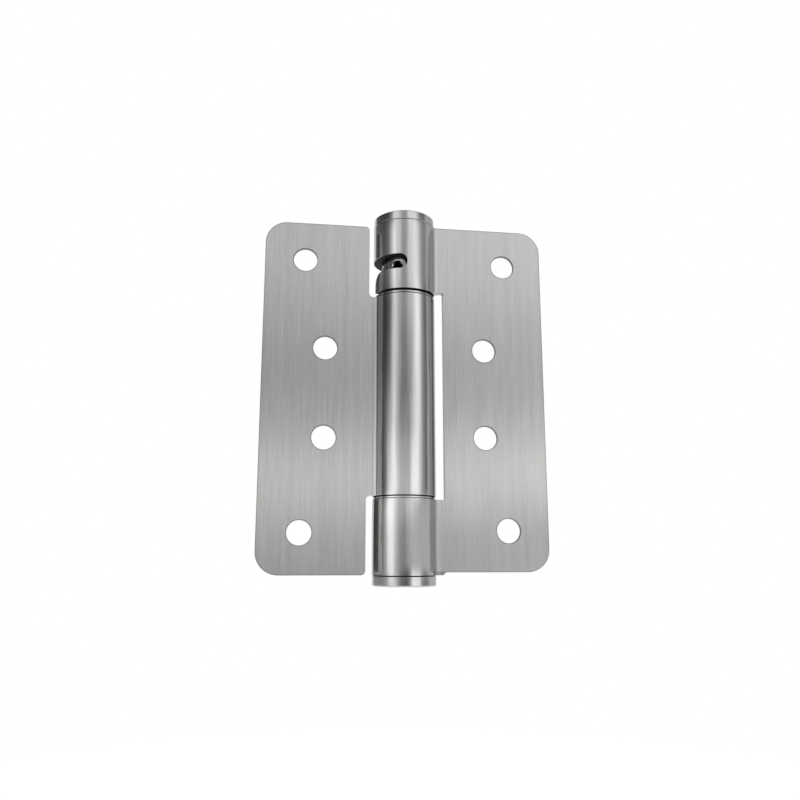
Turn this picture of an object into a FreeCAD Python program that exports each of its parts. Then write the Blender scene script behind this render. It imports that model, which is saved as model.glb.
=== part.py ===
import FreeCAD
import Part
import math
import os

V = FreeCAD.Vector

# Frame: the barrel axis is Z, the origin is half-way between the two cap faces.
# The outer faces of the leaves look along -Y, the frame leaf lies at +X and the door leaf at -X.

# Leaves
LEAF_HEIGHT = 101.6
LEAF_REACH = 41.2
LEAF_THICKNESS = 2.4
LEAF_GAP_CLOSED = 2.0
LEAF_CORNER_RADIUS = 6.35
FRAME_LEAF_MID_Z = 0.45
DOOR_LEAF_MID_Z = -0.3

# Knuckles rolled from the same sheet
KNUCKLE_RADIUS = 9.1
KNUCKLE_BEND_RADIUS = 2.0
KNUCKLE_END_GAP = 0.5
KNUCKLE_OVERHANG = 0.8
TOP_KNUCKLE_BOTTOM_Z = 30.05
BOTTOM_KNUCKLE_TOP_Z = -30.35
MIDDLE_KNUCKLE_TOP_Z = 28.6
MIDDLE_KNUCKLE_BOTTOM_Z = -29.4
FRAME_NOTCH_REACH = 11.3
FRAME_NOTCH_CORNER_RADIUS = 0.6
BEND_RELIEF_RISE = 1.05
BEND_RELIEF_LENGTH = 6.0
DOOR_NOTCH_TOP_REACH = 10.75
DOOR_NOTCH_BOTTOM_REACH = 11.2
DOOR_NOTCH_CORNER_RADIUS = 1.2

# Screw holes: two near the free edge, two nearer the barrel, countersunk from the inner face
OUTER_HOLE_X = 29.5
OUTER_HOLE_Z = 39.4
INNER_HOLE_X = 23.3
INNER_HOLE_Z = 13.0
HOLE_DIAMETER = 6.9
COUNTERSINK_DIAMETER = 9.8

# Tension slot and window in the top knuckle, angles run from the -Y side towards -X
SLOT_BOTTOM_Z = 36.05
SLOT_TOP_Z = 40.6
SLOT_STOP_ANGLE = 1.6
TONGUE_END_ANGLE = 76.0
TONGUE_CORNER_RADIUS = 4.0
WINDOW_END_ANGLE = 160.0
WINDOW_CORNER_RADIUS = 2.0

# Caps
CAP_RADIUS = 9.0
CAP_FACE_Z = 54.15
CAP_SPIGOT_LENGTH = 4.2
CAP_RIM_CHAMFER = 0.35
CAP_SEAT_GROOVE = 0.35
KEY_HOLE_RADIUS = 3.2

# Tension spindle
COLLAR_RADIUS = 6.62
COLLAR_HOLE_DIAMETER = 2.8
COLLAR_HOLE_DEPTH = 3.2
COLLAR_HOLE_CHAMFER = 0.5
COLLAR_HOLE_COUNT = 6
COLLAR_HOLE_Z = 37.5
COLLAR_FIRST_HOLE_ANGLE = 25.5
SHANK_RADIUS = 4.97
KEY_ACROSS_FLATS = 5.0
KEY_SOCKET_DEPTH = 5.0

# Spring and the noses that take its tangs
WIRE = 2.0
COIL_OUTER_RADIUS = 6.2
COIL_PITCH = 2.15
COIL_TURNS = 18
COIL_FLATS = 12
NOSE_RADIUS = 3.9
NOSE_LENGTH = 8.0
TANG_SLOT_WIDTH = 2.2
TANG_LENGTH = 8.6

# Lower pivot
PIVOT_RADIUS = 4.0
PIVOT_BUSH_RADIUS = 5.5
PIVOT_TOP_Z = -24.0
PIVOT_END_GAP = 0.3
FIXING_PIN_RADIUS = 1.25

# Washers, bushes and clearances
WASHER_THICKNESS = 0.75
WASHER_RADIUS = 8.9
WASHER_CHAMFER = 0.35
WASHER_BORE_CLEARANCE = 0.35
RUNNING_CLEARANCE = 0.05
SEAT_GAP = 0.1
BUSH_LENGTH = 7.0
TURNED_CHAMFER = 0.4

# Derived sizes
OUTER_FACE_Y = -(LEAF_GAP_CLOSED / 2 + LEAF_THICKNESS)
INNER_FACE_Y = -LEAF_GAP_CLOSED / 2
BORE_RADIUS = KNUCKLE_RADIUS - LEAF_THICKNESS
FRAME_LEAF_TOP_Z = FRAME_LEAF_MID_Z + LEAF_HEIGHT / 2
FRAME_LEAF_BOTTOM_Z = FRAME_LEAF_MID_Z - LEAF_HEIGHT / 2
BOTTOM_KNUCKLE_END_Z = FRAME_LEAF_BOTTOM_Z - KNUCKLE_OVERHANG
BUSH_BOTTOM_Z = MIDDLE_KNUCKLE_TOP_Z - BUSH_LENGTH
COIL_TOP_Z = BUSH_BOTTOM_Z - SEAT_GAP
COIL_BOTTOM_Z = COIL_TOP_Z - WIRE - COIL_PITCH * COIL_TURNS
ANCHOR_TOP_Z = COIL_BOTTOM_Z - SEAT_GAP
PLUG_BOTTOM_Z = BOTTOM_KNUCKLE_END_Z + CAP_SPIGOT_LENGTH + SEAT_GAP
ANCHOR_PIN_Z = (ANCHOR_TOP_Z + PIVOT_TOP_Z) / 2
PLUG_PIN_Z = (BOTTOM_KNUCKLE_TOP_Z + PLUG_BOTTOM_Z) / 2
BIG = 60.0
CUT_OVERRUN = 1.0


def polar(radius, degrees, centre=V(0, 0, 0)):
    """A point at an angle from +X about a centre."""
    angle = math.radians(degrees)
    return centre + V(radius * math.cos(angle), radius * math.sin(angle), 0)


def arc(radius, start, end, centre=V(0, 0, 0)):
    """An arc edge from one angle to another through the angle half-way."""
    middle = (start + end) / 2
    points = [polar(radius, a, centre) for a in (start, middle, end)]
    return Part.Arc(*points).toShape()


def line(start, end):
    return Part.LineSegment(start, end).toShape()


def rounded_outline(corners):
    """A closed wire in the XZ plane through corners given as x, z and corner radius."""
    count = len(corners)
    points = [V(x, 0, z) for x, z, _ in corners]
    cuts = []
    for i, (_, _, radius) in enumerate(corners):
        here = points[i]
        back = (points[i - 1] - here).normalize()
        ahead = (points[(i + 1) % count] - here).normalize()
        half_turn = back.getAngle(ahead) / 2
        reach = radius / math.tan(half_turn)
        middle_reach = radius / math.sin(half_turn) - radius
        bisector = (back + ahead).normalize()
        cuts.append((here + back * reach, here + bisector * middle_reach, here + ahead * reach, radius))
    edges = []
    for i, (start, middle, end, radius) in enumerate(cuts):
        if radius > 0:
            edges.append(Part.Arc(start, middle, end).toShape())
        edges.append(line(end, cuts[(i + 1) % count][0]))
    return Part.Wire(edges)


def extrude_through(wire):
    """A prism of an XZ outline that passes through the whole hinge along Y."""
    wire.translate(V(0, -BIG / 2, 0))
    return Part.Face(wire).extrude(V(0, BIG, 0))


def turned(profile):
    """A solid of revolution about Z from a closed list of radius and height pairs."""
    points = [V(r, 0, z) for r, z in profile]
    wire = Part.makePolygon(points + [points[0]])
    return Part.Face(wire).revolve(V(0, 0, 0), V(0, 0, 1), 360)


def ring_sector(inner, outer, low_z, high_z, start_angle, end_angle):
    """A sector of a ring, with its angles counted from the -Y side towards -X."""
    corners = [V(inner, 0, low_z), V(outer, 0, low_z), V(outer, 0, high_z), V(inner, 0, high_z)]
    face = Part.Face(Part.makePolygon(corners + [corners[0]]))
    sector = face.revolve(V(0, 0, 0), V(0, 0, 1), end_angle - start_angle)
    sector.rotate(V(0, 0, 0), V(0, 0, 1), -90 - end_angle)
    return sector


def sheet_section():
    """The rolled sheet seen along the barrel: leaf, bend and knuckle of one thickness."""
    bend_centre_y = OUTER_FACE_Y - KNUCKLE_BEND_RADIUS
    centre_distance = KNUCKLE_RADIUS + KNUCKLE_BEND_RADIUS
    bend_centre_x = math.sqrt(centre_distance ** 2 - bend_centre_y ** 2)
    bend_centre = V(bend_centre_x, bend_centre_y, 0)
    inner_bend_radius = KNUCKLE_BEND_RADIUS + LEAF_THICKNESS
    start = math.degrees(math.atan2(bend_centre_y, bend_centre_x))
    clear = inner_bend_radius + KNUCKLE_END_GAP
    cosine = (KNUCKLE_RADIUS ** 2 + centre_distance ** 2 - clear ** 2) / (2 * KNUCKLE_RADIUS * centre_distance)
    end = start + math.degrees(math.acos(cosine)) - 360
    edges = [
        line(V(LEAF_REACH, OUTER_FACE_Y, 0), V(bend_centre_x, OUTER_FACE_Y, 0)),
        arc(KNUCKLE_BEND_RADIUS, 90, 180 + start, bend_centre),
        arc(KNUCKLE_RADIUS, start, end),
        line(polar(KNUCKLE_RADIUS, end), polar(BORE_RADIUS, end)),
        arc(BORE_RADIUS, end, start),
        arc(inner_bend_radius, 180 + start, 90, bend_centre),
        line(V(bend_centre_x, INNER_FACE_Y, 0), V(LEAF_REACH, INNER_FACE_Y, 0)),
        line(V(LEAF_REACH, INNER_FACE_Y, 0), V(LEAF_REACH, OUTER_FACE_Y, 0)),
    ]
    return Part.Face(Part.Wire(Part.__sortEdges__(edges)))


def rolled_sheet():
    """The sheet section carried well past both ends of the leaf."""
    sheet = sheet_section().extrude(V(0, 0, 2 * BIG))
    sheet.translate(V(0, 0, -BIG))
    return sheet


def screw_hole(x, z):
    """A plain hole in the outer face that opens to a countersink in the inner face."""
    radius = HOLE_DIAMETER / 2
    sink = COUNTERSINK_DIAMETER / 2
    sink_depth = sink - radius
    shank_start = V(x, OUTER_FACE_Y - CUT_OVERRUN, z)
    shank = Part.makeCylinder(radius, LEAF_THICKNESS + 2 * CUT_OVERRUN, shank_start, V(0, 1, 0))
    cone_start = V(x, INNER_FACE_Y - sink_depth, z)
    cone = Part.makeCone(radius, sink + CUT_OVERRUN, sink_depth + CUT_OVERRUN, cone_start, V(0, 1, 0))
    return shank.fuse(cone)


def screw_holes(mid_z):
    """The four holes of a leaf at +X."""
    places = []
    for sign in (-1, 1):
        places.append((OUTER_HOLE_X, mid_z + sign * OUTER_HOLE_Z))
        places.append((INNER_HOLE_X, mid_z + sign * INNER_HOLE_Z))
    return [screw_hole(x, z) for x, z in places]


def fixing_hole(z):
    """The radial hole at the back of a knuckle for a fixing pin."""
    return Part.makeCylinder(FIXING_PIN_RADIUS, KNUCKLE_RADIUS, V(0, FIXING_PIN_RADIUS, z), V(0, 1, 0))


def make_frame_leaf():
    top = FRAME_LEAF_TOP_Z
    bottom = FRAME_LEAF_BOTTOM_Z
    end = BOTTOM_KNUCKLE_END_Z
    notch = FRAME_NOTCH_REACH
    outline = rounded_outline([
        (-BIG, top, 0),
        (-BIG, TOP_KNUCKLE_BOTTOM_Z, 0),
        (notch, TOP_KNUCKLE_BOTTOM_Z, 0),
        (notch, BOTTOM_KNUCKLE_TOP_Z, FRAME_NOTCH_CORNER_RADIUS),
        (-BIG, BOTTOM_KNUCKLE_TOP_Z, 0),
        (-BIG, end, 0),
        (notch - KNUCKLE_OVERHANG, end, KNUCKLE_OVERHANG / 2),
        (notch, bottom, KNUCKLE_OVERHANG / 2),
        (LEAF_REACH, bottom, LEAF_CORNER_RADIUS),
        (LEAF_REACH, top, LEAF_CORNER_RADIUS),
    ])
    leaf = rolled_sheet().common(extrude_through(outline))
    leaf = leaf.cut(make_bend_relief())
    leaf = leaf.cut(make_slot_and_window())
    for hole in screw_holes(FRAME_LEAF_MID_Z):
        leaf = leaf.cut(hole)
    leaf = leaf.cut(fixing_hole(PLUG_PIN_Z))
    return leaf


def make_bend_relief():
    """The wedge cut out above the notch where the top knuckle bends into the leaf."""
    low_z = TOP_KNUCKLE_BOTTOM_Z - BEND_RELIEF_RISE
    high_z = TOP_KNUCKLE_BOTTOM_Z + BEND_RELIEF_RISE
    start_x = FRAME_NOTCH_REACH - BEND_RELIEF_LENGTH
    outline = rounded_outline([
        (start_x, low_z, 0),
        (FRAME_NOTCH_REACH, low_z, 0),
        (FRAME_NOTCH_REACH, high_z, FRAME_NOTCH_CORNER_RADIUS),
        (start_x, TOP_KNUCKLE_BOTTOM_Z, 0),
    ])
    return Part.Face(outline).extrude(V(0, -BIG, 0))


def make_slot_and_window():
    """The tension slot, closed by its round stop, and the window that it opens into."""
    inner = BORE_RADIUS - CUT_OVERRUN
    outer = KNUCKLE_RADIUS + CUT_OVERRUN
    half = (SLOT_TOP_Z - SLOT_BOTTOM_Z) / 2
    stop_turn = math.degrees(half / KNUCKLE_RADIUS)
    slot = ring_sector(inner, outer, SLOT_BOTTOM_Z, SLOT_TOP_Z, SLOT_STOP_ANGLE + stop_turn, WINDOW_END_ANGLE)
    end_direction = polar(1.0, -90 - SLOT_STOP_ANGLE - stop_turn)
    round_end = Part.makeCylinder(half, outer - inner, end_direction * inner + V(0, 0, SLOT_BOTTOM_Z + half),
                                  end_direction)
    window_low_z = TOP_KNUCKLE_BOTTOM_Z - CUT_OVERRUN
    window = ring_sector(inner, outer, window_low_z, SLOT_TOP_Z, TONGUE_END_ANGLE, WINDOW_END_ANGLE)
    opening = slot.fuse(window)
    opening = opening.removeSplitter()
    tongue_corner = radial_edges(opening, TONGUE_END_ANGLE, SLOT_BOTTOM_Z)
    opening = opening.makeFillet(TONGUE_CORNER_RADIUS, tongue_corner)
    window_corner = radial_edges(opening, WINDOW_END_ANGLE, SLOT_TOP_Z)
    opening = opening.makeFillet(WINDOW_CORNER_RADIUS, window_corner)
    return opening.fuse(round_end)


def radial_edges(shape, angle, z):
    """The straight edges that run outwards at one angle and height."""
    direction = polar(1.0, -90 - angle)
    found = []
    for edge in shape.Edges:
        ends = [v.Point for v in edge.Vertexes]
        if len(ends) != 2 or any(abs(p.z - z) > 1e-4 for p in ends):
            continue
        if all(V(p.x, p.y, 0).normalize().dot(direction) > 0.99999 for p in ends):
            found.append(edge)
    return found


def make_door_leaf():
    """Drawn at +X like the frame leaf, then mirrored to -X."""
    top = DOOR_LEAF_MID_Z + LEAF_HEIGHT / 2
    bottom = DOOR_LEAF_MID_Z - LEAF_HEIGHT / 2
    outline = rounded_outline([
        (DOOR_NOTCH_TOP_REACH, top, DOOR_NOTCH_CORNER_RADIUS),
        (DOOR_NOTCH_TOP_REACH, MIDDLE_KNUCKLE_TOP_Z, DOOR_NOTCH_CORNER_RADIUS),
        (-BIG, MIDDLE_KNUCKLE_TOP_Z, 0),
        (-BIG, MIDDLE_KNUCKLE_BOTTOM_Z, 0),
        (DOOR_NOTCH_BOTTOM_REACH, MIDDLE_KNUCKLE_BOTTOM_Z, DOOR_NOTCH_CORNER_RADIUS),
        (DOOR_NOTCH_BOTTOM_REACH, bottom, DOOR_NOTCH_CORNER_RADIUS),
        (LEAF_REACH, bottom, LEAF_CORNER_RADIUS),
        (LEAF_REACH, top, LEAF_CORNER_RADIUS),
    ])
    leaf = rolled_sheet().common(extrude_through(outline))
    for hole in screw_holes(DOOR_LEAF_MID_Z):
        leaf = leaf.cut(hole)
    leaf = leaf.cut(fixing_hole(ANCHOR_PIN_Z))
    return leaf.mirror(V(0, 0, 0), V(1, 0, 0))


def make_top_cap():
    """A disc with a spigot pressed into the top knuckle and a hole for the tension key."""
    profile = cap_profile(FRAME_LEAF_TOP_Z, CAP_FACE_Z, 1)
    key_hole = [
        (KEY_HOLE_RADIUS + TURNED_CHAMFER, CAP_FACE_Z),
        (KEY_HOLE_RADIUS, CAP_FACE_Z - TURNED_CHAMFER),
        (KEY_HOLE_RADIUS, FRAME_LEAF_TOP_Z - CAP_SPIGOT_LENGTH),
    ]
    return turned(profile + key_hole)


def make_bottom_cap():
    profile = cap_profile(BOTTOM_KNUCKLE_END_Z, -CAP_FACE_Z, -1)
    axis = [(0, -CAP_FACE_Z), (0, BOTTOM_KNUCKLE_END_Z + CAP_SPIGOT_LENGTH)]
    return turned(profile + axis)


def cap_profile(seat, face, outwards):
    """Spigot, seat with a fine groove, side and chamfered rim of a cap, up to the edge of its face."""
    rim = CAP_RIM_CHAMFER
    return [
        (BORE_RADIUS, seat - outwards * CAP_SPIGOT_LENGTH),
        (BORE_RADIUS, seat),
        (CAP_RADIUS - CAP_SEAT_GROOVE, seat),
        (CAP_RADIUS, seat + outwards * CAP_SEAT_GROOVE),
        (CAP_RADIUS, face - outwards * rim),
        (CAP_RADIUS - rim, face),
    ]


def hexagon_prism(across_flats, low_z, height):
    radius = across_flats / math.sqrt(3)
    points = [polar(radius, 60 * i) + V(0, 0, low_z) for i in range(6)]
    return Part.Face(Part.makePolygon(points + [points[0]])).extrude(V(0, 0, height))


def tang_slot(low_z, high_z):
    """The slot across a nose that the tang of the spring lies in."""
    width = TANG_SLOT_WIDTH
    return Part.makeBox(2 * BORE_RADIUS, width, high_z - low_z, V(-BORE_RADIUS, -width / 2, low_z))


def collar_hole(turn):
    """A blind radial hole for the tension pin, with a chamfered mouth."""
    outward = polar(1.0, -90 - turn)
    radius = COLLAR_HOLE_DIAMETER / 2
    bottom = outward * (COLLAR_RADIUS - COLLAR_HOLE_DEPTH) + V(0, 0, COLLAR_HOLE_Z)
    bore = Part.makeCylinder(radius, COLLAR_HOLE_DEPTH + CUT_OVERRUN, bottom, outward)
    mouth = outward * (COLLAR_RADIUS - COLLAR_HOLE_CHAMFER) + V(0, 0, COLLAR_HOLE_Z)
    cone_length = COLLAR_HOLE_CHAMFER + CUT_OVERRUN
    chamfer = Part.makeCone(radius, radius + cone_length, cone_length, mouth, outward)
    return bore.fuse(chamfer)


def make_tension_spindle():
    """Collar with pin holes, shank in the upper bush and a slotted nose inside the coil."""
    collar_top = FRAME_LEAF_TOP_Z - CAP_SPIGOT_LENGTH - SEAT_GAP
    collar_bottom = MIDDLE_KNUCKLE_TOP_Z + WASHER_THICKNESS + SEAT_GAP
    nose_bottom = COIL_TOP_Z - NOSE_LENGTH
    spindle = turned([
        (0, nose_bottom),
        (NOSE_RADIUS, nose_bottom),
        (NOSE_RADIUS, COIL_TOP_Z + SEAT_GAP),
        (SHANK_RADIUS, COIL_TOP_Z + SEAT_GAP),
        (SHANK_RADIUS, collar_bottom),
        (COLLAR_RADIUS, collar_bottom),
        (COLLAR_RADIUS, collar_top - TURNED_CHAMFER),
        (COLLAR_RADIUS - TURNED_CHAMFER, collar_top),
        (0, collar_top),
    ])
    for i in range(COLLAR_HOLE_COUNT):
        spindle = spindle.cut(collar_hole(COLLAR_FIRST_HOLE_ANGLE + i * 360 / COLLAR_HOLE_COUNT))
    socket_depth = KEY_SOCKET_DEPTH + CUT_OVERRUN
    socket = hexagon_prism(KEY_ACROSS_FLATS, collar_top - KEY_SOCKET_DEPTH, socket_depth)
    spindle = spindle.cut(socket)
    return spindle.cut(tang_slot(nose_bottom - CUT_OVERRUN, COIL_TOP_Z + SEAT_GAP / 2))


def coil_section(turns):
    """Corners of the square wire after some turns: inner and outer below, outer and inner above."""
    low = V(0, 0, COIL_BOTTOM_Z + COIL_PITCH * turns)
    high = low + V(0, 0, WIRE)
    inside = polar(COIL_OUTER_RADIUS - WIRE, 360 * turns)
    outside = polar(COIL_OUTER_RADIUS, 360 * turns)
    return [inside + low, outside + low, outside + high, inside + high]


def flat_face(*corners):
    return Part.Face(Part.makePolygon(list(corners) + [corners[0]]))


def make_torsion_spring():
    """A left-hand coil of square wire with a straight tang across the axis at each end.

    The coil is made of flats, with each twisted side of the wire split into two triangles.
    """
    sections = [coil_section(i / COIL_FLATS) for i in range(COIL_TURNS * COIL_FLATS + 1)]
    faces = [flat_face(*sections[0]), flat_face(*sections[-1])]
    for here, ahead in zip(sections, sections[1:]):
        faces.append(flat_face(here[1], ahead[1], ahead[2], here[2]))
        faces.append(flat_face(here[0], ahead[0], ahead[3], here[3]))
        for inner, outer in ((0, 1), (3, 2)):
            faces.append(flat_face(here[inner], here[outer], ahead[outer]))
            faces.append(flat_face(here[inner], ahead[outer], ahead[inner]))
    shell = Part.makeShell(faces)
    shell.sewShape()
    coil = Part.makeSolid(shell)
    tang_start = V(COIL_OUTER_RADIUS - TANG_LENGTH, -WIRE / 2, COIL_BOTTOM_Z)
    lower_tang = Part.makeBox(TANG_LENGTH, WIRE, WIRE, tang_start)
    upper_tang = lower_tang.copy()
    upper_tang.translate(V(0, 0, COIL_PITCH * COIL_TURNS))
    spring = coil.fuse(lower_tang).fuse(upper_tang)
    return spring.mirror(V(0, 0, 0), V(0, 1, 0))


def make_spring_anchor():
    """A plug in the lower end of the middle knuckle, with a nose for the coil and a bush seat."""
    bottom = MIDDLE_KNUCKLE_BOTTOM_Z
    nose_top = COIL_BOTTOM_Z + NOSE_LENGTH
    seat_top = PIVOT_TOP_Z + PIVOT_END_GAP
    anchor = turned([
        (PIVOT_BUSH_RADIUS, bottom),
        (BORE_RADIUS, bottom),
        (BORE_RADIUS, ANCHOR_TOP_Z),
        (NOSE_RADIUS, ANCHOR_TOP_Z),
        (NOSE_RADIUS, nose_top),
        (0, nose_top),
        (0, seat_top),
        (PIVOT_BUSH_RADIUS, seat_top),
    ])
    anchor = anchor.cut(tang_slot(ANCHOR_TOP_Z + SEAT_GAP / 2, nose_top + CUT_OVERRUN))
    return anchor.cut(fixing_pin_shape(ANCHOR_PIN_Z))


def fixing_pin_shape(z):
    """A plain pin from near the axis out to just below the back of the knuckle."""
    start = V(0, FIXING_PIN_RADIUS, z)
    length = KNUCKLE_RADIUS - 2 * SEAT_GAP - FIXING_PIN_RADIUS
    return Part.makeCylinder(FIXING_PIN_RADIUS, length, start, V(0, 1, 0))


def tube(inner, outer, low_z, high_z):
    return turned([(inner, low_z), (outer, low_z), (outer, high_z), (inner, high_z)])


def make_upper_bush():
    return tube(SHANK_RADIUS + RUNNING_CLEARANCE, BORE_RADIUS, BUSH_BOTTOM_Z, MIDDLE_KNUCKLE_TOP_Z)


def make_pivot_bush():
    return tube(PIVOT_RADIUS + RUNNING_CLEARANCE, PIVOT_BUSH_RADIUS, MIDDLE_KNUCKLE_BOTTOM_Z, PIVOT_TOP_Z)


def washer(bore_radius, seat_z, outwards):
    """A flat washer lying on an end of the middle knuckle, chamfered round the edge that lies on it."""
    far_z = seat_z + outwards * WASHER_THICKNESS
    return turned([
        (bore_radius, seat_z),
        (WASHER_RADIUS - WASHER_CHAMFER, seat_z),
        (WASHER_RADIUS, seat_z + outwards * WASHER_CHAMFER),
        (WASHER_RADIUS, far_z),
        (bore_radius, far_z),
    ])


def make_upper_washer():
    return washer(SHANK_RADIUS + WASHER_BORE_CLEARANCE, MIDDLE_KNUCKLE_TOP_Z, 1)


def make_lower_washer():
    return washer(PIVOT_RADIUS + WASHER_BORE_CLEARANCE, MIDDLE_KNUCKLE_BOTTOM_Z, -1)


def make_pivot_pin():
    return turned([
        (0, PLUG_BOTTOM_Z),
        (PIVOT_RADIUS, PLUG_BOTTOM_Z),
        (PIVOT_RADIUS, PIVOT_TOP_Z - TURNED_CHAMFER),
        (PIVOT_RADIUS - TURNED_CHAMFER, PIVOT_TOP_Z),
        (0, PIVOT_TOP_Z),
    ])


def make_bottom_plug():
    """The sleeve in the bottom knuckle that the pivot pin is pressed into."""
    plug = tube(PIVOT_RADIUS, BORE_RADIUS, PLUG_BOTTOM_Z, BOTTOM_KNUCKLE_TOP_Z - SEAT_GAP)
    return plug.cut(fixing_hole(PLUG_PIN_Z))


def make_anchor_pin():
    return fixing_pin_shape(ANCHOR_PIN_Z)


def make_plug_pin():
    length = KNUCKLE_RADIUS - 2 * SEAT_GAP - PIVOT_RADIUS - SEAT_GAP
    return Part.makeCylinder(FIXING_PIN_RADIUS, length, V(0, PIVOT_RADIUS + SEAT_GAP, PLUG_PIN_Z), V(0, 1, 0))


NODES = {
    "frame_leaf": make_frame_leaf,
    "door_leaf": make_door_leaf,
    "top_cap": make_top_cap,
    "bottom_cap": make_bottom_cap,
    "tension_spindle": make_tension_spindle,
    "torsion_spring": make_torsion_spring,
    "spring_anchor": make_spring_anchor,
    "anchor_pin": make_anchor_pin,
    "upper_bush": make_upper_bush,
    "pivot_bush": make_pivot_bush,
    "upper_washer": make_upper_washer,
    "lower_washer": make_lower_washer,
    "pivot_pin": make_pivot_pin,
    "bottom_plug": make_bottom_plug,
    "plug_pin": make_plug_pin,
}

os.makedirs("parts", exist_ok=True)
for name, make in NODES.items():
    shape = make()
    shape.exportStep("parts/" + name + ".step")
    print(name, "valid", shape.isValid(), "solids", len(shape.Solids), "faces", len(shape.Faces),
          "volume", round(shape.Volume, 1))
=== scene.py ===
import math

import bpy
from mathutils import Matrix, Vector


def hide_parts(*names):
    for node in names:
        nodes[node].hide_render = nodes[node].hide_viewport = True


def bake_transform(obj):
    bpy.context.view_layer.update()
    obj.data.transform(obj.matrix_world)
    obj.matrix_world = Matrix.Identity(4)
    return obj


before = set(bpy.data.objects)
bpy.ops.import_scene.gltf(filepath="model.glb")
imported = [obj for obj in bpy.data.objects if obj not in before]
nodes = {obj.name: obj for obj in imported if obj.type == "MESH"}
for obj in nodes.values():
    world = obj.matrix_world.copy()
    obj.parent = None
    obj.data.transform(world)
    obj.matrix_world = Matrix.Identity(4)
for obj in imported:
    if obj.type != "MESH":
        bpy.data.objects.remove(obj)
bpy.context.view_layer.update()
scene = bpy.context.scene
scene.view_settings.view_transform = "Standard"

WHITE = (1.0, 1.0, 1.0, 1.0)

# Camera: about level with the hinge's lower end and left of it, looking up and a little to the right
CAMERA_PLACE = Vector((-0.0324947, -0.2230523, -0.0469403))
CAMERA_RIGHT = Vector((0.9902632, -0.1392068, 0.0004150))
CAMERA_UP = Vector((-0.0280556, -0.1966549, 0.9800713))
CAMERA_LENS = 35.477
CAMERA_SENSOR = 36.0
CAMERA_NEAREST = 0.001

# World: rows of panels by bearing in degrees, 0 towards the camera's side and positive right, with strengths
STUDIO_LEVEL = 1.25
BOTTOM_CAP_PANELS = (
    (-180, 0.8), (-148, 0.6), (-130, 0.35), (-100, 0.38), (-74, 0.42), (-54, 0.85), (-38, 0.9), (-26, 0.4),
    (-16, 0.18), (4, 0.14), (13, 0.4), (24, 1.4), (46, 1.4), (58, 0.4), (72, 0.2), (84, 0.24),
    (95, 0.55), (150, 0.6), (180, 0.8))
LOW_PANELS = (
    (-180, 0.8), (-152, 0.7), (-142, 0.04), (-132, 0.04), (-120, 0.15), (-100, 0.15), (-90, 0.26), (-76, 0.6),
    (-62, 1.3), (-49, 1.35), (-38, 0.72), (-24, 0.42), (-8, 0.34), (12, 0.56), (24, 0.66), (60, 0.62),
    (105, 0.62), (135, 0.5), (150, 0.62), (180, 0.8))
MID_PANELS = (
    (-180, 0.8), (-148, 0.7), (-138, 0.05), (-92, 0.06), (-78, 0.2), (-64, 0.6), (-50, 1.08), (-42, 1.16),
    (-31, 0.62), (-18, 0.33), (10, 0.33), (20, 0.66), (30, 1.02), (46, 1.2), (55, 0.85), (64, 0.4),
    (80, 0.17), (92, 0.62), (104, 0.64), (120, 0.42), (145, 0.5), (180, 0.8))
HIGH_PANELS = (
    (-180, 0.8), (-148, 0.7), (-138, 0.05), (-80, 0.05), (-62, 0.18), (-45, 0.98), (-37, 1.05), (-25, 0.74),
    (-14, 0.46), (-6, 0.46), (10, 0.78), (24, 1.0), (40, 1.4), (49, 1.35), (58, 0.7), (68, 0.28),
    (80, 0.16), (92, 0.55), (104, 0.52), (120, 0.42), (145, 0.5), (180, 0.8))
TOP_PANELS = (
    (-180, 0.8), (-148, 0.7), (-138, 0.15), (-88, 0.12), (-70, 0.2), (-56, 0.7), (-48, 1.3), (-40, 1.25),
    (-32, 0.95), (-24, 0.95), (-15, 0.55), (-8, 0.42), (4, 0.65), (14, 1.1), (40, 1.25), (50, 0.9),
    (62, 0.45), (74, 0.3), (92, 0.55), (115, 0.45), (145, 0.5), (180, 0.8))
TOP_CAP_PANELS = (
    (-180, 0.8), (-148, 0.7), (-138, 0.15), (-118, 0.02), (-58, 0.02), (-43, 0.75), (-34, 0.95), (-22, 0.6),
    (0, 0.45), (12, 1.1), (38, 0.95), (52, 0.22), (60, 0.03), (72, 0.03), (84, 0.5), (145, 0.6),
    (180, 0.8))

# Rows above the lowest one, each with the heights in degrees between which it takes over from the one below
UPPER_ROWS = (
    (LOW_PANELS, -1.4, -1.1),
    (MID_PANELS, 4.3, 4.9),
    (HIGH_PANELS, 8.0, 17.5),
    (TOP_PANELS, 19.4, 19.9),
    (TOP_CAP_PANELS, 24.4, 24.8))

# Level bands, which the leaves mirror: a gain by height in degrees, and its share by bearing
BAND_GAIN = (
    (-15, 1.08), (-1, 0.88), (2, 1.08), (3.8, 2.0), (5.5, 2.8), (7.5, 2.3), (10, 1.08), (12.5, 0.48),
    (16, 0.44), (18.5, 0.72), (24, 0.9), (60, 0.9))
BAND_SHARE = (
    (-84, 0.0), (-66, 0.3), (-46, 0.1), (-31, 0.3), (-15, 0.62), (6, 0.65), (12, 0.5), (21, 0.58),
    (31, 0.2), (56, 0.0))

# Ceiling: the heights in degrees between which it takes over from the panels, and its strength
CEILING = (45.0, 65.0)
CEILING_LEVEL = 0.35

# Floor: a pale matte disc, which the camera and the metal see nearly white
FLOOR_Z = -0.15
FLOOR_RADIUS = 0.3
FLOOR_SIDES = 96
FLOOR_COLOUR = (0.8, 0.8, 0.8, 1.0)
FLOOR_MATTE_SHARE = 0.6
FLOOR_GLOW = 1.9

# Leaves: corner and screw hole centres, out from the barrel axis and up from each leaf's middle
CORNER_OUT = 0.03485
CORNER_UP = 0.04445
HOLES = ((0.0295, 0.0394), (0.0233, 0.0130))
DOOR_LEAF_MIDDLE = -0.0003
FRAME_LEAF_MIDDLE = 0.00045

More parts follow.
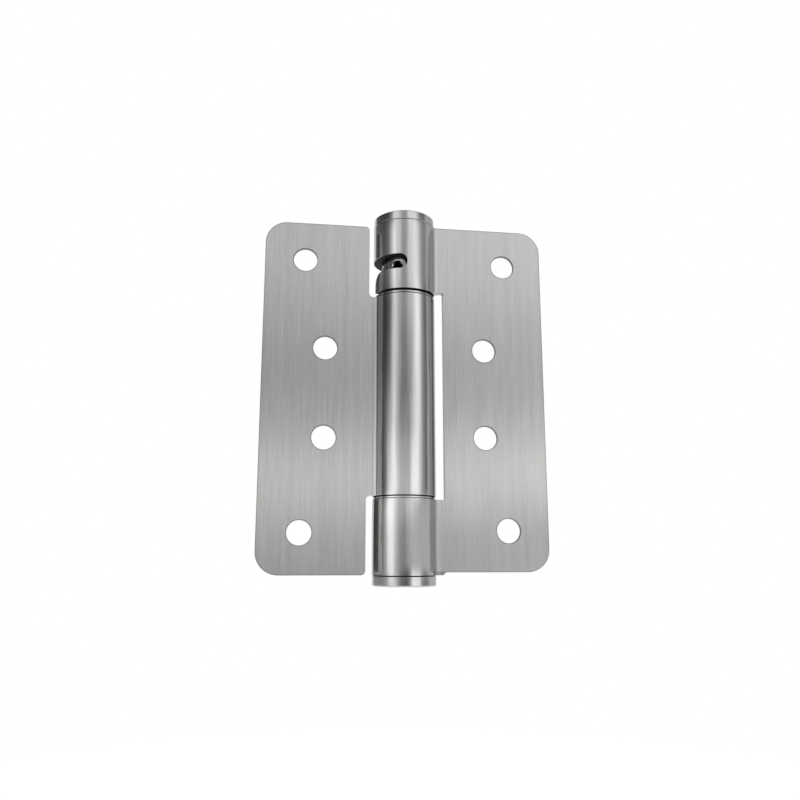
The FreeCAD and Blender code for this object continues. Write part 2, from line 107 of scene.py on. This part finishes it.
# Radii just inside the leaves' rounded corners and just outside their screw holes, where painted shade
# begins, partly the cut metal's own darker tone
EDGE_RADIUS = 0.00612
RIM_RADIUS = 0.00364

# Radii about the barrel axis that hold the polished knuckles, their cut faces and bores, painted near black
# as shade, and the collar's pin holes, painted black as shade
KNUCKLE_REACH = 0.0093
KNUCKLE_INSIDE_REACH = 0.00895
PIN_HOLE_REACH = 0.00615

# Colours of the metal
BRUSHED_TONE = (0.515, 0.515, 0.504)
KNUCKLE_TONE = (0.48, 0.48, 0.472)
# The next two are painted shade, a darker band along each leaf's outline and a dark ring round each screw
# hole, partly the cut metal's own darker tone
EDGE_SHADE_TONE = (0.33, 0.33, 0.323)
HOLE_SHADE_TONE = (0.2, 0.2, 0.196)
# Painted shade: near black inside the knuckles' bores, slot walls and cut faces
INSIDE_SHADE_TONE = (0.03, 0.03, 0.03)
TURNED_TONE = (0.50, 0.50, 0.495)
COLLAR_TONE = (0.42, 0.42, 0.415)
# Painted shade: black in the collar's pin holes
PIN_HOLE_SHADE_TONE = (0.01, 0.01, 0.01)
SPRING_TONE = (0.25, 0.25, 0.26)

# Roughness of the metal
BRUSHED_ROUGHNESS = 0.25
POLISHED_ROUGHNESS = 0.09
INSIDE_ROUGHNESS = 0.9
COLLAR_ROUGHNESS = 0.18
PIN_HOLE_ROUGHNESS = 0.6
SPRING_ROUGHNESS = 0.35

# Grain: noise cells per metre along each axis, broader streaks and their share, swing in roughness, and depth
BRUSHED = (5000.0, 5000.0, 80.0)
TURNED = (600.0, 600.0, 6000.0)
DRAWN = (900.0, 900.0, 900.0)
GRAIN_DETAIL = 3.0
FINE_GRAIN_ROUGHNESS = 0.7
BROAD_SCALE = 0.12
BROAD_SHARE = 0.3
ROUGHNESS_SWING = 0.12
GRAIN_DEPTH = 0.00002

# Slight unevenness of polished metal, in waves per metre, which bends the mirrored stripes
WAVES = (180.0, 180.0, 35.0)
WAVE_DETAIL = 1.0
WAVE_DEPTH = 0.00012

# Nylon: greys by the level of a faint cloud, the cloud's cells across the piece and its detail, and roughness
NYLON_TONES = ((0.3, 0.72), (0.7, 0.80))
NYLON_CLOUDS = 900.0
NYLON_DETAIL = 3.0
NYLON_ROUGHNESS = 0.5


class Graph:
    """A short way to build a node tree. A value is a number, a tuple or another node's output."""

    # First input, second input and output of a Mix node, by kind
    MIX_SOCKETS = {"FLOAT": (2, 3, 0), "RGBA": (6, 7, 2)}

    # Keeps the tangent of a level face from vanishing
    SMALL_SHIFT = (0.001, 0.0, 0.0)

    # Where a new stop of a ramp stands until it gets its own place
    FIRST_PLACE = 0.5

    def __init__(self, tree):
        self.tree = tree

    def add(self, kind, *numbered, **named):
        """Adds a node and fills its inputs, by number in order and by name."""
        node = self.tree.nodes.new(kind)
        for socket, value in (*enumerate(numbered), *named.items()):
            self.put(node, socket, value)
        return node

    def put(self, node, socket, value):
        if isinstance(value, bpy.types.NodeSocket):
            self.tree.links.new(value, node.inputs[socket])
        else:
            node.inputs[socket].default_value = value

    def math(self, operation, *values):
        node = self.add("ShaderNodeMath", *values)
        node.operation = operation
        return node.outputs[0]

    def vector_math(self, operation, first, second):
        node = self.add("ShaderNodeVectorMath", first, second)
        node.operation = operation
        return node.outputs[0]

    def length(self, first, second):
        """Length of a vector of two parts."""
        squares = self.math("MULTIPLY", first, first), self.math("MULTIPLY", second, second)
        return self.math("SQRT", self.math("ADD", *squares))

    def mix(self, kind, factor, first, second):
        node = self.tree.nodes.new("ShaderNodeMix")
        node.data_type = kind
        first_socket, second_socket, result = self.MIX_SOCKETS[kind]
        self.put(node, 0, factor)
        self.put(node, first_socket, first)
        self.put(node, second_socket, second)
        return node.outputs[result]

    def mix_numbers(self, factor, first, second):
        return self.mix("FLOAT", factor, first, second)

    def mix_colours(self, factor, first, second):
        return self.mix("RGBA", factor, first, second)

    def noise(self, place, scale, **inputs):
        """Noise stretched by a scale for each axis."""
        stretched = self.add("ShaderNodeMapping", Vector=place, Scale=scale).outputs[0]
        return self.add("ShaderNodeTexNoise", Vector=stretched, Scale=1.0, **inputs).outputs[0]

    def level_tangent(self):
        """A level direction along the surface, for a grain that runs up and down."""
        normal = self.add("ShaderNodeNewGeometry").outputs["Normal"]
        level = self.vector_math("CROSS_PRODUCT", normal, (0.0, 0.0, 1.0))
        return self.vector_math("ADD", level, self.SMALL_SHIFT)

    def ramp(self, factor, stops):
        """Greys by position from 0 to 1, with smooth steps between them."""
        node = self.add("ShaderNodeValToRGB", factor)
        node.color_ramp.interpolation = "EASE"
        elements = node.color_ramp.elements
        while len(elements) < len(stops):
            elements.new(self.FIRST_PLACE)
        for element, (position, value) in zip(elements, stops):
            element.position = position
            element.color = (value, value, value, 1.0)
        return node.outputs[0]


def new_material(name):
    """A material with an empty node tree, and the graph that fills it."""
    material = bpy.data.materials.new(name)
    material.use_nodes = True
    material.node_tree.nodes.clear()
    return material, Graph(material.node_tree)


def make_camera():
    data = bpy.data.cameras.new("camera")
    data.sensor_width = CAMERA_SENSOR
    data.lens = CAMERA_LENS
    data.clip_start = CAMERA_NEAREST
    camera = bpy.data.objects.new("camera", data)
    scene.collection.objects.link(camera)
    turn = Matrix((CAMERA_RIGHT, CAMERA_UP, CAMERA_RIGHT.cross(CAMERA_UP))).transposed()
    camera.matrix_world = Matrix.Translation(CAMERA_PLACE) @ turn.to_4x4()
    scene.camera = camera


def make_world():
    """Soft studio panels all round, which the metal mirrors, behind plain white for the camera."""
    world = bpy.data.worlds.new("studio")
    scene.world = world
    world.use_nodes = True
    world.node_tree.nodes.clear()
    graph = Graph(world.node_tree)
    direction = graph.add("ShaderNodeTexCoord").outputs["Generated"]
    x, y, z = graph.add("ShaderNodeSeparateXYZ", direction).outputs
    bearing = graph.math("ARCTAN2", x, graph.math("MULTIPLY", y, -1.0))
    bearing = graph.math("DIVIDE", graph.math("ADD", bearing, math.pi), 2 * math.pi)
    height = graph.math("ARCSINE", z)
    height = graph.math("DIVIDE", graph.math("ADD", height, math.pi / 2), math.pi)

    def by_bearing(stops):
        return graph.ramp(bearing, [((degrees + 180) / 360, value) for degrees, value in stops])

    def by_height(stops):
        return graph.ramp(height, [((degrees + 90) / 180, value) for degrees, value in stops])

    def above(low, high):
        return by_height(((low, 0.0), (high, 1.0)))

    panels = by_bearing(BOTTOM_CAP_PANELS)
    for row, low, high in UPPER_ROWS:
        panels = graph.mix_numbers(above(low, high), panels, by_bearing(row))
    banded = graph.math("MULTIPLY", panels, by_height(BAND_GAIN))
    panels = graph.mix_numbers(by_bearing(BAND_SHARE), panels, banded)
    panels = graph.mix_numbers(above(*CEILING), panels, CEILING_LEVEL)
    light = graph.math("MULTIPLY", panels, STUDIO_LEVEL)
    seen_by_camera = graph.add("ShaderNodeLightPath").outputs["Is Camera Ray"]
    strength = graph.mix_numbers(seen_by_camera, light, 1.0)
    background = graph.add("ShaderNodeBackground", Color=WHITE, Strength=strength)
    graph.add("ShaderNodeOutputWorld", Surface=background.outputs[0])


def floor_paint():
    """Matte paint that holds a soft shadow, with a glow in it for the camera, mirrors and glass."""
    material, graph = new_material("floor_paint")
    matte = graph.add("ShaderNodeBsdfDiffuse", Color=FLOOR_COLOUR)
    glow = graph.add("ShaderNodeEmission", Strength=FLOOR_GLOW)
    path = graph.add("ShaderNodeLightPath").outputs
    seen = graph.math("MAXIMUM", path["Is Camera Ray"], path["Is Glossy Ray"])
    seen = graph.math("MAXIMUM", seen, path["Is Transmission Ray"])
    share = graph.math("MULTIPLY", seen, 1.0 - FLOOR_MATTE_SHARE)
    surface = graph.add("ShaderNodeMixShader", share, matte.outputs[0], glow.outputs[0])
    graph.add("ShaderNodeOutputMaterial", Surface=surface.outputs[0])
    return material


def make_floor():
    rim = []
    for side in range(FLOOR_SIDES):
        angle = 2 * math.pi * side / FLOOR_SIDES
        rim.append((FLOOR_RADIUS * math.cos(angle), FLOOR_RADIUS * math.sin(angle), FLOOR_Z))
    mesh = bpy.data.meshes.new("floor")
    mesh.from_pydata(rim, [], [list(range(FLOOR_SIDES))])
    mesh.materials.append(floor_paint())
    floor = bpy.data.objects.new("floor", mesh)
    scene.collection.objects.link(floor)


def edge_and_hole_shade(graph, axes, tone):
    """Paints shade along the leaves' edges and round the walls of their screw holes, partly the cut metal's
    own darker tone.
    """
    x, _, z = axes
    frame_half = graph.math("GREATER_THAN", x, 0.0)
    middle = graph.mix_numbers(frame_half, DOOR_LEAF_MIDDLE, FRAME_LEAF_MIDDLE)
    out = graph.math("ABSOLUTE", x)
    up = graph.math("ABSOLUTE", graph.math("SUBTRACT", z, middle))
    past_side = graph.math("MAXIMUM", graph.math("SUBTRACT", out, CORNER_OUT), 0.0)
    past_end = graph.math("MAXIMUM", graph.math("SUBTRACT", up, CORNER_UP), 0.0)
    # Painted shade: a darker band along the leaf's outline, partly the sheared edge's own darker tone
    edge_shade = graph.math("GREATER_THAN", graph.length(past_side, past_end), EDGE_RADIUS)
    tone = graph.mix_colours(edge_shade, tone, (*EDGE_SHADE_TONE, 1.0))
    # Painted shade: a dark ring round each screw hole and on its wall, partly the cut wall's own darker tone
    for hole_out, hole_up in HOLES:
        away = graph.length(graph.math("SUBTRACT", out, hole_out), graph.math("SUBTRACT", up, hole_up))
        rim = graph.math("LESS_THAN", away, RIM_RADIUS)
        tone = graph.mix_colours(rim, tone, (*HOLE_SHADE_TONE, 1.0))
    return tone


def steel(name, colour, roughness, grain, streak, bump, anisotropy=0.0, zones=(), leaf=False):
    """Steel with streaks in colour, roughness and bump.

    zones lists the largest radius about the barrel axis, the colour and the roughness of each inner zone,
    from the outermost in. leaf adds painted shade along a leaf's edges and round its screw holes, partly the
    cut metal's own darker tone.
    """
    material, graph = new_material(name)
    place = graph.add("ShaderNodeTexCoord").outputs["Object"]
    axes = graph.add("ShaderNodeSeparateXYZ", place).outputs
    fine = graph.noise(place, grain, Detail=GRAIN_DETAIL, Roughness=FINE_GRAIN_ROUGHNESS)
    broad = graph.noise(place, [cells * BROAD_SCALE for cells in grain], Detail=GRAIN_DETAIL)
    streaks = graph.mix_numbers(BROAD_SHARE, fine, broad)

    def streaked(shade):
        low = [part * (1 - streak) for part in shade]
        high = [part * (1 + streak) for part in shade]
        return graph.mix_colours(streaks, (*low, 1.0), (*high, 1.0))

    tone = streaked(colour)
    # A leaf gets painted shade along its edges and round its screw holes
    if leaf:
        tone = edge_and_hole_shade(graph, axes, tone)
    swing = graph.math("MULTIPLY", streaks, ROUGHNESS_SWING)
    rough = graph.math("ADD", swing, roughness - ROUGHNESS_SWING / 2)
    radius = graph.length(axes[0], axes[1])
    for reach, zone_colour, zone_roughness in zones:
        inside = graph.math("LESS_THAN", radius, reach)
        tone = graph.mix_colours(inside, tone, streaked(zone_colour))
        rough = graph.mix_numbers(inside, rough, zone_roughness)

    waves = graph.noise(place, WAVES, Detail=WAVE_DETAIL)
    uneven = graph.add("ShaderNodeBump", Strength=1.0, Distance=WAVE_DEPTH, Height=waves).outputs[0]
    relief = graph.add("ShaderNodeBump", Strength=bump, Distance=GRAIN_DEPTH, Height=streaks, Normal=uneven)
    shader = graph.add(
        "ShaderNodeBsdfPrincipled", tone, Metallic=1.0, Roughness=rough, Normal=relief.outputs[0],
        Anisotropic=anisotropy, Tangent=graph.level_tangent())
    graph.add("ShaderNodeOutputMaterial", Surface=shader.outputs[0])
    return material


def nylon():
    """White plastic with a faint cloud in its colour."""
    material, graph = new_material("nylon")
    cloud = graph.add("ShaderNodeTexNoise", Scale=NYLON_CLOUDS, Detail=NYLON_DETAIL).outputs[0]
    shader = graph.add("ShaderNodeBsdfPrincipled", graph.ramp(cloud, NYLON_TONES), Roughness=NYLON_ROUGHNESS)
    graph.add("ShaderNodeOutputMaterial", Surface=shader.outputs[0])
    return material


def finish(material, *names):
    for name in names:
        mesh = nodes[name].data
        mesh.materials.clear()
        mesh.materials.append(material)


def twist_spring():
    """Puts a copy of the coil in its place and hides the original coil."""
    coil = bpy.data.objects.new("coil", nodes["torsion_spring"].data.copy())
    coil.matrix_world = nodes["torsion_spring"].matrix_world.copy()
    scene.collection.objects.link(coil)
    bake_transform(coil)
    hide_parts("torsion_spring")


make_camera()
make_world()
make_floor()

# The knuckles' inner zone is painted shade, near black inside the bores, slot walls and cut faces
knuckle_zones = (
    (KNUCKLE_REACH, KNUCKLE_TONE, POLISHED_ROUGHNESS),
    (KNUCKLE_INSIDE_REACH, INSIDE_SHADE_TONE, INSIDE_ROUGHNESS))
# The collar's inner zone is painted shade, black in its pin holes
collar_zones = ((PIN_HOLE_REACH, PIN_HOLE_SHADE_TONE, PIN_HOLE_ROUGHNESS),)

leaf_steel = steel(
    "leaf_steel", BRUSHED_TONE, BRUSHED_ROUGHNESS, BRUSHED, streak=0.32, bump=0.25,
    anisotropy=1.0, zones=knuckle_zones, leaf=True)
turned_steel = steel("turned_steel", TURNED_TONE, POLISHED_ROUGHNESS, TURNED, streak=0.14, bump=0.15)
collar_steel = steel(
    "collar_steel", COLLAR_TONE, COLLAR_ROUGHNESS, TURNED, streak=0.10, bump=0.2, zones=collar_zones)
spring_steel = steel("spring_steel", SPRING_TONE, SPRING_ROUGHNESS, DRAWN, streak=0.10, bump=0.2)

finish(leaf_steel, "frame_leaf", "door_leaf")
finish(turned_steel, "top_cap", "bottom_cap", "upper_washer", "lower_washer")
finish(turned_steel, "spring_anchor", "anchor_pin", "pivot_pin", "bottom_plug", "plug_pin")
finish(collar_steel, "tension_spindle")
finish(spring_steel, "torsion_spring")
finish(nylon(), "upper_bush", "pivot_bush")
twist_spring()
